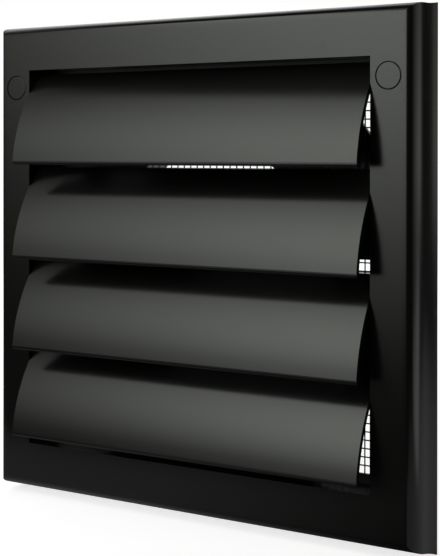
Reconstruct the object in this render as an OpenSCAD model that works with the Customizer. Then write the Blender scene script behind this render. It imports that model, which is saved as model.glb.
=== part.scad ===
// Louvred vent cover for a round wall duct: a square moulded cover with four curved blades,
// a fine insect mesh behind them, a flanged duct spigot at the back and two screw caps.
// X runs to the right, Y into the wall and Z up. The origin is where the duct's axis meets the wall.

/* [Cover] */
// Width over the skirt, at the wall
cover_w = 190; // [186:1:220]
// Height over the skirt, at the wall, without the drip edge
cover_h = 190; // [186:1:220]
// Depth from the flat face to the wall
cover_d = 17.5; // [16:0.5:24]
// Thickness of the flat face
face_t = 2.5; // [1.5:0.1:3]
// Thickness of the skirt at the wall
skirt_t = 2.2; // [1.6:0.1:2.6]

/* [Moulded rim] */
// Width of the rim, from the flat face's edge to the skirt's rear edge
rim_w = 5.7; // [5.3:0.1:8]
// Width of the soft strip beside the flat face
strip_w = 1.7; // [1:0.1:2]
// Tilt of the strip where it meets the rounded edge, in degrees
strip_tilt = 4.5; // [2:0.5:8]
// Width of the rounded edge
round_w = 3.3; // [2:0.1:3.3]
// Depth of the rounded edge
round_d = 8; // [5:0.5:10]
// Extra flare of the skirt along the bottom, which sheds water as a drip edge
drip = 3; // [0:0.1:3.5]

/* [Opening] */
// Width of the opening
opening_w = 155; // [120:1:156]
// Height of the opening
opening_h = 152; // [152:1:156]
// Thickness of the sleeve behind the opening
sleeve_t = 2; // [1.5:0.1:2.5]

/* [Blades] */
// Height of the top blade's lower edge above the centre
top_blade_z = 37.7; // [37:0.1:38.5]
// Distance from the top blade to the second
blade_pitch = 37.85; // [37:0.05:38]
// How much shorter each next distance is
pitch_step = 1.5; // [1:0.1:1.6]
// Number of blades
blade_count = 4; // [2:1:4]
// Reach of a blade's lower edge in front of the flat face
blade_reach = 10.1; // [6:0.1:12]
// Radius of a blade's outer surface
blade_r = 62; // [58:1:80]
// Lean of the outer surface at a blade's lower edge, in degrees
blade_lean = 6.5; // [4:0.5:9]
// Height of a blade's curved surface
blade_rise = 35.2; // [28:0.1:36]
// Thickness of a blade
blade_t = 1.9; // [1.4:0.1:2.4]
// Height of the lip along a blade's lower edge
lip_h = 1.4; // [0.8:0.1:2]
// Height of the groove over the lip
groove_h = 0.4; // [0.2:0.1:0.6]
// Depth of the groove over the lip
groove_d = 0.5; // [0.2:0.1:0.8]

/* [Fixings] */
// Distance between the two screws
screw_pitch = 168.8; // [166:0.1:170]
// Height of the screws above the centre
screw_z = 69; // [50:1:70]
// Diameter of the screw hole
screw_hole = 4.5; // [3.5:0.1:5]
// Diameter of the bore for the screw's head
head_bore = 8.5; // [7:0.1:9]
// Depth of plastic left under the screw's head
head_seat = 4; // [2:0.5:8]
// Outer diameter of the screw boss
boss_d = 12; // [11.4:0.1:12]
// Diameter of a screw cap
cap_d = 9.6; // [9.2:0.1:9.8]
// Thickness of a screw cap
cap_t = 1.6; // [1:0.1:2]
// Gap around a screw cap and its stem
cap_gap = 0.2; // [0.1:0.05:0.3]
// Length of a cap's hollow stem
stem_l = 5; // [3:0.5:7]
// Wall of a cap's hollow stem
stem_t = 1; // [0.8:0.1:1.5]

/* [Insect mesh] */
// Distance between wires
wire_pitch = 3.03; // [3:0.01:8]
// Diameter of a wire
wire_d = 0.5; // [0.4:0.1:0.6]
// Width of the mesh's border
border_w = 5.5; // [3:0.5:8]
// Thickness of the mesh's border
border_t = 1.2; // [1.2:0.1:1.6]
// Gap between the border's notches and the screw bosses
boss_gap = 0.2; // [0.1:0.1:0.5]

/* [Duct spigot] */
// Outer diameter of the spigot, for a 100 mm duct
spigot_d = 98; // [96:0.5:99]
// Wall of the spigot
spigot_t = 2; // [1.6:0.1:3]
// Length of the spigot behind the wall plane
spigot_l = 12; // [8:1:40]
// Chamfer at the spigot's end
spigot_chamfer = 1; // [0.5:0.1:1.5]
// Radius of the flange
flange_r = 85; // [82:0.5:86]
// Thickness of the flange
flange_t = 2; // [1.6:0.1:2.4]
// Height of the flange's side notches
notch_h = 4.5; // [3:0.5:8]
// Height of the notches' middle above the centre
notch_z = 1.8; // [-4:0.1:4]
// Radius at which the notches start
notch_r = 60; // [54:1:76]

/* [Back ribs] */
// Thickness of the ribs between sleeve and skirt
rib_t = 1.6; // [1:0.1:2]
// Distance of the ribs from the centre lines
rib_off = 46; // [42:1:54]

/* [Hidden] */

arc_fn = 96;
strip_steps = 4;
round_steps = 14;
skirt_steps = 6;
overlap = 1;
layer_gap = 0.04;

face_y = -cover_d;
mesh_y = -flange_t - border_t;
flat_w = cover_w - 2 * rim_w;
flat_h = cover_h - 2 * rim_w;
sleeve_w = opening_w + 2 * sleeve_t;
sleeve_h = opening_h + 2 * sleeve_t;
blade_axis_y = face_y - blade_reach + blade_r * cos(blade_lean);
blade_axis_z = lip_h - blade_r * sin(blade_lean);
lip_y = face_y - blade_reach;

// Height of a blade's lower edge: each distance is one step shorter than the one above
function blade_z(i) = top_blade_z - i * blade_pitch + pitch_step * i * (i - 1) / 2;

// Rim section: distance out from the flat face's edge, and depth behind the face
strip_r = strip_w / sin(strip_tilt);
strip = [for (i = [0:strip_steps])
    let (a = strip_tilt * i / strip_steps)
    [strip_r * sin(a), strip_r * (1 - cos(a))]];
strip_end = strip[strip_steps];

// The rounded edge is a quarter of an ellipse; this is its place at a given tilt of the surface
function round_place(tilt) =
    let (a = atan2(round_w * sin(tilt), round_d * cos(tilt)))
    [round_w * sin(a), round_d * (1 - cos(a))];

rounded_edge = [for (i = [1:round_steps])
    strip_end + round_place(strip_tilt + (90 - strip_tilt) * i / round_steps)
        - round_place(strip_tilt)];
round_end = rounded_edge[round_steps - 1];

skirt = [for (i = [1:skirt_steps])
    let (t = i / skirt_steps)
    [round_end[0] + (rim_w - round_end[0]) * pow(t, 2),
     round_end[1] + (cover_d - round_end[1]) * t]];

outer_section = concat(strip, rounded_edge, skirt);
inner_section = [
    [strip_w + round_w * sin(acos(1 - face_t / round_d)) - skirt_t, face_t],
    [round_end[0] - skirt_t, round_end[1]],
    [rim_w - skirt_t, cover_d],
    [rim_w - skirt_t, cover_d + overlap]];

// A rim section that leans outwards from the face to the wall
function flared(section, extra) = [for (p = section) [p[0] + extra * p[1] / cover_d, p[1]]];

// Outline of the cover cut across, from two rim sections: one for each end of the flat face
function profile(low, high, flat_half) = concat(
    [for (p = high) [flat_half + p[0], face_y + p[1]]],
    [for (i = [len(low) - 1:-1:0]) [-flat_half - low[i][0], face_y + low[i][1]]]);

// A square form with one rim section at its sides and top and a flared one at the bottom, mitred
module form(section) {
    intersection() {
        linear_extrude(height = 2 * cover_h, center = true)
            polygon(profile(section, section, flat_w / 2));
        rotate([0, -90, 0])
            linear_extrude(height = 2 * cover_w, center = true)
            polygon(profile(flared(section, drip), section, flat_h / 2));
    }
}

// A block centred on the duct's axis, from y0 to y1
module block(w, h, y0, y1) {
    translate([-w / 2, y0, -h / 2])
        cube([w, y1 - y0, h]);
}

module shell() {
    difference() {
        union() {
            difference() {
                form(outer_section);
                form(inner_section);
            }
            block(sleeve_w, sleeve_h, face_y + face_t - overlap, mesh_y);
        }
        block(opening_w, opening_h, face_y - overlap, 0);
    }
}

// Section of a blade in Y and Z: a curved strip, with a groove and a lip at its lower edge
module blade_section() {
    difference() {
        translate([blade_axis_y, blade_axis_z]) difference() {
            circle(r = blade_r, $fn = 4 * arc_fn);
            circle(r = blade_r - blade_t, $fn = 4 * arc_fn);
        }
        translate([blade_axis_y - 2 * blade_r, lip_h - 4 * blade_r])
            square([4 * blade_r, 4 * blade_r]);
        translate([blade_axis_y - 2 * blade_r, lip_h + blade_rise])
            square([4 * blade_r, 4 * blade_r]);
        translate([blade_axis_y, -blade_r])
            square([2 * blade_r, 4 * blade_r]);
    }
    translate([lip_y + groove_d, lip_h - groove_h])
        square([blade_t - groove_d, groove_h + overlap]);
    translate([lip_y + groove_d / 4, 0])
        square([blade_t - groove_d / 4, lip_h - groove_h]);
}

// A blade is as wide as the opening, and its ends stand free in front of the face
module blade() {
    translate([-opening_w / 2, 0, 0])
        rotate([90, 0, 90])
        linear_extrude(height = opening_w)
        blade_section();
}

module blades() {
    for (i = [0:blade_count - 1])
        translate([0, 0, blade_z(i)]) blade();
}

// A bar along Y, from y0 to y1
module bar(d, y0, y1) {
    translate([0, y0, 0])
        rotate([-90, 0, 0])
        cylinder(d = d, h = y1 - y0, $fn = arc_fn);
}

module at_screws() {
    for (side = [-1, 1])
        translate([side * screw_pitch / 2, 0, screw_z]) children();
}

module screw_bores() {
    at_screws() {
        bar(cap_d + 2 * cap_gap, face_y - overlap, face_y + cap_t);
        bar(head_bore, face_y, -head_seat);
        bar(screw_hole, face_y, overlap);
    }
}

// Ribs that stiffen the channel between the sleeve and the skirt
module ribs() {
    side_reach = cover_w / 2 - skirt_t - sleeve_w / 2;
    top_reach = cover_h / 2 + drip - skirt_t - sleeve_h / 2;
    rib_l = mesh_y - face_y - face_t + overlap;
    for (side = [-1, 1], off = [-rib_off, rib_off]) {
        translate([side * (sleeve_w + side_reach - overlap) / 2, mesh_y - rib_l / 2, off])
            cube([side_reach, rib_l, rib_t], center = true);
        translate([off, mesh_y - rib_l / 2, side * (sleeve_h + top_reach - overlap) / 2])
            cube([rib_t, rib_l, top_reach], center = true);
    }
}

module body() {
    color("#1d1e1d") difference() {
        union() {
            shell();
            blades();
            intersection() {
                form(outer_section);
                ribs();
            }
            at_screws() bar(boss_d, face_y + face_t - overlap, 0);
        }
        screw_bores();
    }
}

// Two layers of straight wires, held in a border that lies on the sleeve's rear edge and is
// notched round the screw bosses
module insect_mesh() {
    layer = (wire_d + layer_gap) / 2;
    mid_y = mesh_y + border_t / 2;
    inner_w = sleeve_w - 2 * border_w;
    inner_h = sleeve_h - 2 * border_w;
    columns = floor(inner_w / wire_pitch / 2 + 0.5);
    rows = floor(inner_h / wire_pitch / 2);
    color("#161716") {
        difference() {
            block(sleeve_w, sleeve_h, mesh_y, mesh_y + border_t);
            block(inner_w, inner_h, mesh_y - overlap, mesh_y + border_t + overlap);
            at_screws() bar(boss_d + 2 * boss_gap, mesh_y - overlap, mesh_y + border_t + overlap);
        }
        for (side = [-1, 1], i = [1:columns])
            translate([side * (i - 0.5) * wire_pitch, mid_y - layer, 0])
            cylinder(d = wire_d, h = inner_h + border_w, center = true, $fn = 16);
        for (i = [-rows:rows])
            translate([0, mid_y + layer, i * wire_pitch])
            rotate([0, 90, 0])
            cylinder(d = wire_d, h = inner_w + border_w, center = true, $fn = 16);
    }
}

module duct_spigot() {
    r = spigot_d / 2;
    color("#1a1b1a") difference() {
        rotate([-90, 0, 0])
            rotate_extrude($fn = 2 * arc_fn)
            polygon([
                [r - spigot_t, -flange_t],
                [flange_r, -flange_t],
                [flange_r, 0],
                [r, 0],
                [r, spigot_l - spigot_chamfer],
                [r - spigot_chamfer, spigot_l],
                [r - spigot_t, spigot_l]]);
        for (side = [-1, 1])
            translate([side * (notch_r + flange_r) / 2, -flange_t / 2, notch_z])
            cube([flange_r - notch_r, 2 * flange_t, notch_h], center = true);
    }
}

// A flat cap that lies flush in the face, on a hollow stem in the bore for the screw's head
module screw_cap() {
    stem_r = head_bore / 2 - cap_gap;
    color("#1d1e1d")
        translate([0, face_y, 0])
        rotate([-90, 0, 0])
        rotate_extrude($fn = arc_fn)
        polygon([
            [0, 0],
            [cap_d / 2, 0],
            [cap_d / 2, cap_t],
            [stem_r, cap_t],
            [stem_r, cap_t + stem_l],
            [stem_r - stem_t, cap_t + stem_l],
            [stem_r - stem_t, cap_t],
            [0, cap_t]]);
}

module screw_cap_left() {
    translate([-screw_pitch / 2, 0, screw_z]) screw_cap();
}

module screw_cap_right() {
    translate([screw_pitch / 2, 0, screw_z]) screw_cap();
}

body();
insect_mesh();
duct_spigot();
screw_cap_left();
screw_cap_right();
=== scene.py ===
import math

import bpy
from mathutils import Matrix, Vector


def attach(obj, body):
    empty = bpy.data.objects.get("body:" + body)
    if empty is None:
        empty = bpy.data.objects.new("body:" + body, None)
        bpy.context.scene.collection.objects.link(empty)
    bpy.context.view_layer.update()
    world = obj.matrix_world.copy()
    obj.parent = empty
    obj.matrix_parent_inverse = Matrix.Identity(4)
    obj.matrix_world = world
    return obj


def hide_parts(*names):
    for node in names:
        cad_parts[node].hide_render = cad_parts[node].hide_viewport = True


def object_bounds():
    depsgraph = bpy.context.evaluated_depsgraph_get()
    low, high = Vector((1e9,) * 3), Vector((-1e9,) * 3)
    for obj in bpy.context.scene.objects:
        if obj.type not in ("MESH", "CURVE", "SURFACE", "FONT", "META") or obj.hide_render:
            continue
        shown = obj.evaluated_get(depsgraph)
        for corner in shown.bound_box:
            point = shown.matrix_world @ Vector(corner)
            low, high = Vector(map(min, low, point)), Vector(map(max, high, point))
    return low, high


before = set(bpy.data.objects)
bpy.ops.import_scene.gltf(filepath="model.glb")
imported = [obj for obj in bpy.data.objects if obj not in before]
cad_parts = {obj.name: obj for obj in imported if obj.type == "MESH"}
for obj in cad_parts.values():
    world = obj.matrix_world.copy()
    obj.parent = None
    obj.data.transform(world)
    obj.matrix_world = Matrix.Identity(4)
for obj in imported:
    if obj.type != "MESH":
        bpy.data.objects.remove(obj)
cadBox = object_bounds()
print("frame loaded:", sorted(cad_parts))


# Small helpers

def pick(piece):
    bpy.ops.object.select_all(action="DESELECT")
    piece.select_set(True)
    bpy.context.view_layer.objects.active = piece


def copyOfNode(nodeName, pieceName):
    pick(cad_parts[nodeName])
    bpy.ops.object.duplicate()
    piece = bpy.context.active_object
    piece.name = pieceName
    piece.data.name = pieceName
    pick(piece)
    return piece


# Shader maths as Python expressions

class Signal:
    def __init__(self, graph, socket):
        self.graph = graph
        self.socket = socket

    def maths(self, operation, first, second):
        return self.graph.node("ShaderNodeMath", {"operation": operation}, {0: first, 1: second})

    def __add__(self, other):
        return self.maths("ADD", self, other)

    def __radd__(self, other):
        return self.maths("ADD", other, self)

    def __sub__(self, other):
        return self.maths("SUBTRACT", self, other)

    def __rsub__(self, other):
        return self.maths("SUBTRACT", other, self)

    def __mul__(self, other):
        return self.maths("MULTIPLY", self, other)

    def __rmul__(self, other):
        return self.maths("MULTIPLY", other, self)

    def above(self, other):
        return self.maths("MAXIMUM", self, other)


class Graph:
    def __init__(self, owner):
        owner.use_nodes = True
        self.tree = owner.node_tree
        self.tree.nodes.clear()

    def node(self, kind, settings=None, sockets=None, out=0):
        made = self.tree.nodes.new(kind)
        for name, value in (settings or {}).items():
            setattr(made, name, value)
        for name, value in (sockets or {}).items():
            if isinstance(value, Signal):
                self.tree.links.new(value.socket, made.inputs[name])
            else:
                made.inputs[name].default_value = value
        return Signal(self, made.outputs[out]) if made.outputs else None


white = (1, 1, 1, 1)


def axis(graph, place, name):
    return graph.node("ShaderNodeSeparateXYZ", sockets={0: place}, out=name)


def ray(graph, kind):
    return graph.node("ShaderNodeLightPath", out="Is " + kind + " Ray")


def mirroredRay(graph):
    return ray(graph, "Glossy") + ray(graph, "Transmission")


def emission(graph, strength):
    return graph.node("ShaderNodeEmission", sockets={"Color": white, "Strength": strength})


def mixShaders(graph, factor, first, second):
    return graph.node("ShaderNodeMixShader", sockets={0: factor, 1: first, 2: second})


def fade(graph, value, dark, full):
    return graph.node("ShaderNodeMapRange", {"interpolation_type": "SMOOTHSTEP"},
                      {"Value": value, "From Min": dark, "From Max": full})


def graded(graph, level, x, y, fades):
    # each fade goes along across * x + up * y, from dark to full, and takes its share of the level
    for part in fades:
        along = part["across"] * x + part["up"] * y
        kept = fade(graph, along, part["dark"], part["full"])
        level = level * (1 - part["share"] * (1 - kept))
    return level


# Camera: right of the cover and level with its upper half, as the photograph was taken

shot = {
    "place": (0.2901, -0.4365, 0.0422),
    "yaw": 33.230,   # degrees, as are pitch and roll
    "pitch": -0.261,
    "roll": 0.050,
    "imageHeight": 556,   # px
    "focalLength": 1352.9,   # px
    "horizonRow": 159.6,   # px from the image's top
    "sensor": 36.0,   # mm, on the image's long side
    "clipStart": 0.01,
}


def makeCamera():
    bpy.ops.object.camera_add(location=shot["place"])
    camera = bpy.context.object
    camera.name = "shotCamera"
    turn = (Matrix.Rotation(math.radians(shot["yaw"]), 4, "Z")
            @ Matrix.Rotation(math.radians(90 + shot["pitch"]), 4, "X")   # 90 looks level
            @ Matrix.Rotation(math.radians(shot["roll"]), 4, "Z"))
    camera.rotation_euler = turn.to_euler()
    height = shot["imageHeight"]
    camera.data.sensor_width = shot["sensor"]
    camera.data.lens = shot["sensor"] * shot["focalLength"] / height
    camera.data.shift_y = (shot["horizonRow"] - height / 2) / height
    camera.data.clip_start = shot["clipStart"]
    bpy.context.scene.camera = camera


# Floor: pale to the camera, and a painted reflection for the gloss: zones of glow that only mirrored rays
# see

floorLook = {
    "left": -1.0,
    "right": 1.0,
    "front": -0.10,
    "back": 1.5,
    "grey": 0.6,
    "glowNear": 0.78,   # what the camera sees of the floor on top of the light on it
    "glowFar": 1.0,
    "glowFrom": 0.16,   # metres from the cover
    "glowTo": 0.60,
}

# Fades over the floor, with x to the right and y into the wall, in metres
wallOnwards = {"across": 0, "up": 1, "dark": 0.02, "full": 0.10, "share": 1}

# Painted reflection: glow levels on the floor that only glossy and transmission rays see
# Where zones overlap, the brightest one counts
paintedReflectionZones = [
    # all beyond the wall plane
    {"level": 0.02, "fades": (wallOnwards,)},
    # straight behind the cover
    {"level": 0.7,
     "fades": ({"across": 1, "up": 0, "dark": 0.13, "full": 0.04, "share": 1}, wallOnwards)},
    # right of it, beyond the wall plane
    {"level": 0.9,
     "fades": ({"across": 1, "up": -1, "dark": 0.07, "full": 0.15, "share": 1},
               {"across": 1, "up": -1, "dark": 0.72, "full": 0.24, "share": 1}, wallOnwards)},
    # beside its right flank
    {"level": 0.26,
     "fades": ({"across": 1, "up": 0, "dark": 0.09, "full": 0.10, "share": 1},
               {"across": 1, "up": 0, "dark": 0.50, "full": 0.16, "share": 1})},
    # in front of it, with painted shade darker towards the right
    {"level": 0.22,
     "fades": ({"across": 1, "up": 0, "dark": 0.12, "full": -0.06, "share": 1},
               {"across": 0, "up": 1, "dark": 0.0, "full": -0.02, "share": 1})},
]


def makeFloor():
    width = floorLook["right"] - floorLook["left"]
    depth = floorLook["back"] - floorLook["front"]
    centre = (floorLook["left"] + width / 2, floorLook["front"] + depth / 2, cadBox[0].z)
    bpy.ops.mesh.primitive_plane_add(size=1, location=centre)
    floor = bpy.context.object
    floor.name = "floor"
    floor.scale = (width, depth, 1)
    bpy.ops.object.transform_apply(location=True, rotation=True, scale=True)
    floor.data.materials.append(palePaperWithPaintedReflection())


def palePaperWithPaintedReflection():
    paint = bpy.data.materials.new("palePaperWithPaintedReflection")
    graph = Graph(paint)
    place = graph.node("ShaderNodeTexCoord", out="Object")
    away = graph.node("ShaderNodeVectorMath", {"operation": "LENGTH"}, {0: place}, "Value")
    x = axis(graph, place, "X")
    y = axis(graph, place, "Y")
    seen = floorLook["glowNear"] + fade(graph, away, floorLook["glowFrom"], floorLook["glowTo"]) * (
        floorLook["glowFar"] - floorLook["glowNear"])
    paintedReflection = 0
    for zone in paintedReflectionZones:
        paintedReflection = graded(graph, zone["level"], x, y, zone["fades"]).above(paintedReflection)
    diffuse = graph.node("ShaderNodeBsdfDiffuse", sockets={"Color": (floorLook["grey"],) * 3 + (1,)})
    glow = emission(graph, ray(graph, "Camera") * seen)
    lit = graph.node("ShaderNodeAddShader", sockets={0: diffuse, 1: glow})
    # for glossy and transmission rays the painted reflection takes the place of the lit floor
    shader = mixShaders(graph, mirroredRay(graph), lit, emission(graph, paintedReflection))
    graph.node("ShaderNodeOutputMaterial", sockets={"Surface": shader})
    return paint


# Background: white to the camera, and to the gloss only low down behind the cover

background = {
    "ambient": 0.02,   # what falls on the object from all round
    "backdrop": 1.0,   # white
    "behind": (-0.553, 0.833, 0.0),   # from the camera through the cover
    "behindFrom": 0.90,   # cosine where the gloss starts to see the white
    "behindTo": 0.98,
    "behindHigh": 0.20,   # a direction's Z where the white has faded out
    "behindLow": 0.12,   # and where it is full
}


def makeWorld():
    world = bpy.data.worlds.new("studioWorld")
    bpy.context.scene.world = world
    graph = Graph(world)
    direction = graph.node("ShaderNodeTexCoord", out="Generated")
    along = graph.node("ShaderNodeVectorMath", {"operation": "DOT_PRODUCT"},
                       {0: direction, 1: background["behind"]}, "Value")
    behind = (fade(graph, along, background["behindFrom"], background["behindTo"])
              * fade(graph, axis(graph, direction, "Z"), background["behindHigh"], background["behindLow"]))
    shown = ray(graph, "Camera").above(mirroredRay(graph) * behind)
    ambient = graph.node("ShaderNodeBackground",
                         sockets={"Color": white, "Strength": background["ambient"]})
    backdrop = graph.node("ShaderNodeBackground",
                          sockets={"Color": white, "Strength": background["backdrop"]})
    shader = mixShaders(graph, shown, ambient, backdrop)
    graph.node("ShaderNodeOutputWorld", sockets={"Surface": shader})


# Soft boxes. Azimuth 0 is straight in front and 90 at the right, in degrees; distances and sizes in metres.
# Their fades run over the lamp's face, whose own X and Y go from 0 to 1.

softBoxes = [
    {"name": "keyBox", "azimuth": -36, "elevation": 25, "distance": 0.65,
     "size": (0.75, 0.91), "level": 3.0, "tint": (0.96, 1, 0.93),
     "fades": ({"across": 1, "up": 0.3, "dark": 0.18, "full": 0.88, "share": 1},
               {"across": 1, "up": 0, "dark": 1.08, "full": 0.76, "share": 1},
               {"across": 0.11, "up": 1, "dark": 0.02, "full": 0.52, "share": 1},
               {"across": -0.18, "up": 1, "dark": 0.865, "full": 0.785, "share": 1},
               {"across": 0, "up": 1, "dark": 0.95, "full": 0.5, "share": 0.5})},
    {"name": "sideBox", "azimuth": 113, "elevation": 4.5, "distance": 0.8,
     "size": (0.8, 0.3), "level": 1.05, "tint": (0.96, 1, 0.93),
     "fades": ({"across": 1, "up": 0, "dark": 0.0, "full": 0.8, "share": 1},
               {"across": 1, "up": 0, "dark": 1.0, "full": 0.85, "share": 1},
               {"across": 0, "up": 1, "dark": 0.0, "full": 0.45, "share": 1},
               {"across": 0, "up": 1, "dark": 1.0, "full": 0.2, "share": 0.5})},
    {"name": "backBox", "azimuth": 180, "elevation": 40, "distance": 1.2,
     "size": (0.7, 0.6), "level": 2.0, "tint": (1, 1, 1), "fades": ()},
    {"name": "rimBox", "azimuth": -138, "elevation": 36, "distance": 1.0,
     "size": (0.6, 0.65), "level": 1.0, "tint": (1, 1, 1),
     "fades": ({"across": 0, "up": 1, "dark": 1.0, "full": 0.3, "share": 0.7},)},
    {"name": "rightBox", "azimuth": 52, "elevation": 33, "distance": 0.9,
     "size": (0.55, 0.36), "level": 1.8, "tint": (1, 1, 1), "fades": ()},
    {"name": "leftBox", "azimuth": -95, "elevation": 35, "distance": 0.9,
     "size": (0.45, 0.36), "level": 1.4, "tint": (1, 1, 1), "fades": ()},
]


def makeSoftBox(box):
    a = math.radians(box["azimuth"])
    e = math.radians(box["elevation"])
    away = Vector((math.sin(a) * math.cos(e), -math.cos(a) * math.cos(e), math.sin(e)))
    bpy.ops.object.light_add(type="AREA", location=away * box["distance"])
    lamp = bpy.context.object
    lamp.name = box["name"]
    lamp.visible_camera = False
    lamp.rotation_euler = away.to_track_quat("Z", "Y").to_euler()
    width, height = box["size"]
    lamp.data.shape = "RECTANGLE"
    lamp.data.size = width
    lamp.data.size_y = height
    lamp.data.energy = math.pi * width * height   # a radiance of 1
    lamp.data.color = box["tint"]
    graph = Graph(lamp.data)
    face = graph.node("ShaderNodeNewGeometry", out="Parametric")
    strength = graded(graph, box["level"], axis(graph, face, "X"), axis(graph, face, "Y"), box["fades"])
    graph.node("ShaderNodeOutputLight", sockets={"Surface": emission(graph, strength)})


# Materials

moulded = {
    "deep": (0.0046, 0.0048, 0.0042),
    "worn": (0.0062, 0.0064, 0.0056),
    "roughness": 0.19,
    "drift": 14.0,   # patches per metre where the sheen changes slowly
    "driftDetail": 3.0,
    "driftRoughness": 0.10,
    "grain": 900.0,   # fine moulding texture
    "grainDetail": 2.0,
    "grainRoughness": 0.05,
    "grainDepth": 0.0000025,
    "wave": 28.0,   # slow waviness of a moulded wall
    "waveDetail": 1.0,
    "waveDepth": 0.00003,
    "dust": 420.0,   # fine specks that dull the gloss
    "dustDetail": 1.0,
    "dustFrom": 0.66,
    "dustTo": 0.74,
    "dustRoughness": 0.04,
    "ior": 1.5,
}

meshLook = dict(moulded, roughness=0.48, grainRoughness=0.10, waveDepth=0.0)
spigotLook = dict(moulded, roughness=0.40, grain=600.0, grainDepth=0.000006)

noiseMiddle = 0.5

# The mix node's sockets for colours
mixFactor = 0
mixFirst = 6
mixSecond = 7
mixResult = 2


def noise(graph, place, look, name):
    return graph.node("ShaderNodeTexNoise", out="Fac", sockets={
        "Vector": place, "Scale": look[name], "Detail": look[name + "Detail"]})


def mouldedPlastic(name, look):
    paint = bpy.data.materials.new(name)
    graph = Graph(paint)
    place = graph.node("ShaderNodeTexCoord", out="Object")
    drift = noise(graph, place, look, "drift")
    grain = noise(graph, place, look, "grain")
    wave = noise(graph, place, look, "wave")
    dust = fade(graph, noise(graph, place, look, "dust"), look["dustFrom"], look["dustTo"])
    roughness = (look["roughness"] + (drift - noiseMiddle) * look["driftRoughness"]
                 + (grain - noiseMiddle) * look["grainRoughness"] + dust * look["dustRoughness"])
    colour = graph.node("ShaderNodeMix", {"data_type": "RGBA"}, {
        mixFactor: drift, mixFirst: look["deep"] + (1,), mixSecond: look["worn"] + (1,)}, mixResult)
    relief = grain * look["grainDepth"] + wave * look["waveDepth"]   # metres, so the bump is at full size
    normal = graph.node("ShaderNodeBump", sockets={"Strength": 1.0, "Distance": 1.0, "Height": relief})
    shader = graph.node("ShaderNodeBsdfPrincipled", sockets={
        "Base Color": colour,
        "Roughness": roughness,
        "IOR": look["ior"],
        "Normal": normal})
    graph.node("ShaderNodeOutputMaterial", sockets={"Surface": shader})
    return paint


# Carried-over pieces: merged copies of the CAD nodes with softened edges

softening = {
    "mergeWithin": 0.000002,   # metres, as are the radii below
    "flatWithin": 0.2,   # degrees
    "sharpFrom": 40,   # degrees
    "smoothUpTo": 50,   # degrees
    "segments": 2,
}


def mergeTriangles(piece):
    pick(piece)
    bpy.ops.object.mode_set(mode="EDIT")
    bpy.ops.mesh.select_mode(type="EDGE")
    bpy.ops.mesh.select_all(action="SELECT")
    bpy.ops.mesh.remove_doubles(threshold=softening["mergeWithin"])
    bpy.ops.mesh.dissolve_limited(angle_limit=math.radians(softening["flatWithin"]))
    bpy.ops.mesh.select_all(action="DESELECT")
    bpy.ops.object.mode_set(mode="OBJECT")


def ends(piece, edge):
    return [piece.data.vertices[index].co for index in edge.vertices]


def bevelSharpEdges(piece, radius, keepSharp=0):
    # edges less than keepSharp behind the cover's foremost point stay as they are
    bpy.ops.object.mode_set(mode="EDIT")
    bpy.ops.mesh.edges_select_sharp(sharpness=math.radians(softening["sharpFrom"]))
    bpy.ops.object.mode_set(mode="OBJECT")
    for edge in piece.data.edges:
        a, b = ends(piece, edge)
        if edge.select and max(a.y, b.y) < cadBox[0].y + keepSharp:
            edge.select = False
    bpy.ops.object.mode_set(mode="EDIT")
    bpy.ops.mesh.bevel(offset=radius, segments=softening["segments"], affect="EDGES", clamp_overlap=True)
    bpy.ops.mesh.select_all(action="SELECT")
    bpy.ops.mesh.dissolve_degenerate(threshold=softening["mergeWithin"])
    bpy.ops.object.mode_set(mode="OBJECT")


def smooth(piece):
    pick(piece)
    bpy.ops.object.shade_smooth_by_angle(angle=math.radians(softening["smoothUpTo"]))
    weighted = piece.modifiers.new("largeFacesLead", "WEIGHTED_NORMAL")
    weighted.mode = "FACE_AREA"
    weighted.keep_sharp = True
    bpy.ops.object.modifier_apply(modifier=weighted.name)


def hand(piece, nodeName, paint):
    piece.data.materials.clear()
    piece.data.materials.append(paint)
    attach(piece, "root")
    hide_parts(nodeName)
    print(piece.name, "has", len(piece.data.polygons), "faces")


# Cover moulding: softened edges, rounded blade lips and crisp grooves above them

cover = {
    "edgeRadius": 0.00025,
    "longEdge": 0.1,   # the blades' long edges are longer than this
    "lipBehind": 0.000125,   # how far the lips' faces lie behind the foremost edges
    "lipRadius": 0.0007,
    "lipSegments": 4,
    "grooveDepth": 0.0006,   # the grooves' edges lie within this of the front and stay crisp
    "within": 0.00003,   # how closely an edge has to lie on a lip's face, and level
    "heightDigits": 5,   # heights that agree to a hundredth of a millimetre are one
}


def lipEdges(piece):
    # long level edges of the lips' faces
    found = []
    for edge in piece.data.edges:
        a, b = ends(piece, edge)
        onFace = abs(a.y - cadBox[0].y - cover["lipBehind"]) < cover["within"]
        level = abs(a.z - b.z) < cover["within"]
        if onFace and level and abs(a.x - b.x) > cover["longEdge"]:
            found.append(edge)
    return found


def heightOf(piece, edge):
    return round(ends(piece, edge)[0].z, cover["heightDigits"])


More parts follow.
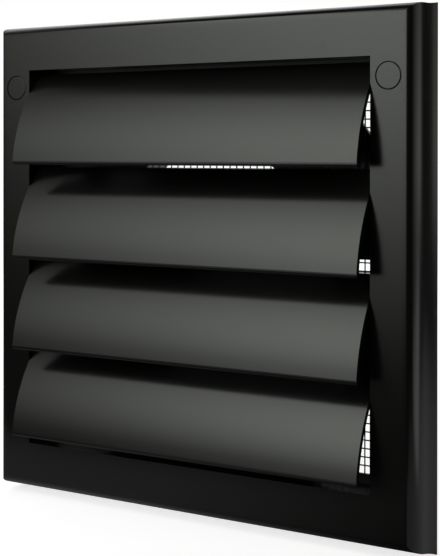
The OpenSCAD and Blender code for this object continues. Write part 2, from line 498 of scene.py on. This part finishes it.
def roundLips(piece):
    lips = lipEdges(piece)
    heights = sorted({heightOf(piece, edge) for edge in lips})
    lowerOnes = heights[::2]   # each lip has a lower and an upper edge
    for edge in lips:
        edge.select = heightOf(piece, edge) in lowerOnes
    bpy.ops.object.mode_set(mode="EDIT")
    bpy.ops.mesh.bevel(offset=cover["lipRadius"], segments=cover["lipSegments"], affect="EDGES")
    bpy.ops.mesh.select_all(action="DESELECT")
    bpy.ops.object.mode_set(mode="OBJECT")
    print("lips rounded:", len(lowerOnes))


def makeCover(paint):
    piece = copyOfNode("body", "coverMoulding")
    mergeTriangles(piece)
    roundLips(piece)
    bevelSharpEdges(piece, cover["edgeRadius"], cover["grooveDepth"])
    smooth(piece)
    hand(piece, "body", paint)


# Screw caps

cap = {"edgeRadius": 0.0004}


def makeCap(nodeName, pieceName, paint):
    piece = copyOfNode(nodeName, pieceName)
    mergeTriangles(piece)
    bevelSharpEdges(piece, cap["edgeRadius"])
    smooth(piece)
    hand(piece, nodeName, paint)


# Duct spigot

spigot = {"edgeRadius": 0.0003}


def makeSpigot(paint):
    piece = copyOfNode("duct_spigot", "ductSpigot")
    mergeTriangles(piece)
    bevelSharpEdges(piece, spigot["edgeRadius"])
    smooth(piece)
    hand(piece, "duct_spigot", paint)


# Insect mesh: its wires are too fine for softened edges

def makeMesh(paint):
    piece = copyOfNode("insect_mesh", "insectMesh")
    mergeTriangles(piece)
    smooth(piece)
    hand(piece, "insect_mesh", paint)


makeCamera()
makeFloor()
makeWorld()
for box in softBoxes:
    makeSoftBox(box)
print("studio ready")

bodyPaint = mouldedPlastic("mouldedBlackPlastic", moulded)
meshPaint = mouldedPlastic("meshBlackPlastic", meshLook)
spigotPaint = mouldedPlastic("spigotBlackPlastic", spigotLook)
print("materials ready")

makeCover(bodyPaint)
makeCap("screw_cap_left", "leftScrewCap", bodyPaint)
makeCap("screw_cap_right", "rightScrewCap", bodyPaint)
makeSpigot(spigotPaint)
makeMesh(meshPaint)

bpy.context.scene.view_settings.view_transform = "Standard"
